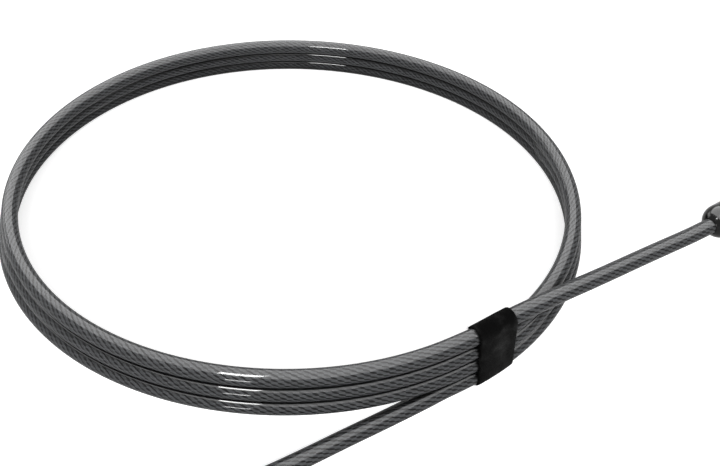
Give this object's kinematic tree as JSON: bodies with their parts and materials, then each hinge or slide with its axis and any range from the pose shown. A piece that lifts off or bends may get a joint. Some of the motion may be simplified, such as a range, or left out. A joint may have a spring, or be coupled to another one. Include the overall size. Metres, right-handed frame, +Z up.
{
  "type": "laptop cable lock",
  "caption": "Laptop security lock: keyed head with a turning T-bar, hinged and swivelled on a coated steel cable that lies coiled in a strap, with a crimped loop at its far end.",
  "frame": {"origin": "centre of the lock head's footprint, on the surface that the head and the cable lie on", "axes": "+X along the cable's lead towards the lock head, +Y along the lock's axis and out of its nose, +Z up"},
  "size_m": [0.259, 0.1817, 0.022],
  "materials": {
    "lock_black": "satin black over die-cast zinc",
    "collar_metal": "satin dark grey over zinc",
    "ring_chrome": "bright plated",
    "plug_nickel": "turned and nickel plated",
    "disc_brass": "stamped",
    "hard_steel": "ground, hardened",
    "spacer_steel": "stamped",
    "screw_steel": "zinc plated",
    "pad_rubber": "matt",
    "washer_nylon": "moulded, natural white",
    "fitting_steel": "machined, plated",
    "core_steel": "bright stranded wire",
    "boot_black": "glossy moulded black",
    "cable_jacket": "clear smoky vinyl over stranded wire",
    "ferrule_metal": "pressed, satin",
    "strap_fabric": "black woven hook-and-loop tape"
  },
  "bodies": {
    "cable": {"cable_eye": "fitting_steel", "core_end": "core_steel", "cable_boot": "boot_black", "cable_lead": "cable_jacket", "cable_coil": "cable_jacket", "cable_tail": "cable_jacket", "loop_ferrule": "ferrule_metal", "strap_band": "strap_fabric", "strap_hook": "strap_fabric"},
    "collar": {"swivel_collar": "collar_metal", "hinge_pin": "screw_steel"},
    "lock": {"lock_body": "lock_black", "face_ring": "ring_chrome", "stop_pin": "hard_steel", "nose_plate": "lock_black", "nose_screws": "screw_steel", "nose_pad": "pad_rubber", "washer_rear": "washer_nylon", "washer_front": "washer_nylon"},
    "rotor": {"lock_plug": "plug_nickel", "guard_disc": "hard_steel", "disc_1": "disc_brass", "disc_2": "disc_brass", "disc_3": "disc_brass", "disc_4": "disc_brass", "disc_5": "disc_brass", "spacer_1": "spacer_steel", "spacer_2": "spacer_steel", "spacer_3": "spacer_steel", "spacer_4": "spacer_steel", "locking_bar": "hard_steel"},
    "sidebar_body": {"sidebar": "hard_steel"}
  },
  "joints": [
    {"name": "head_pivot", "type": "hinge", "parent": "cable", "child": "collar", "pos_m": [-0.00479, 0.0015, 0.011], "axis": [0, 0, 1], "range_deg": [-60, 60]},
    {"name": "head_swivel", "type": "hinge", "parent": "collar", "child": "lock", "pos_m": [0.00971, 0.0015, 0.011], "axis": [0, 1, 0], "continuous": true},
    {"name": "key_turn", "type": "hinge", "parent": "lock", "child": "rotor", "pos_m": [0.00971, 0.0015, 0.011], "axis": [0, 1, 0], "range_deg": [0, 90]},
    {"name": "sidebar_out", "type": "slide", "parent": "rotor", "child": "sidebar_body", "axis": [0, 0, 1], "range_m": [0, 0.0009]}
  ]
}
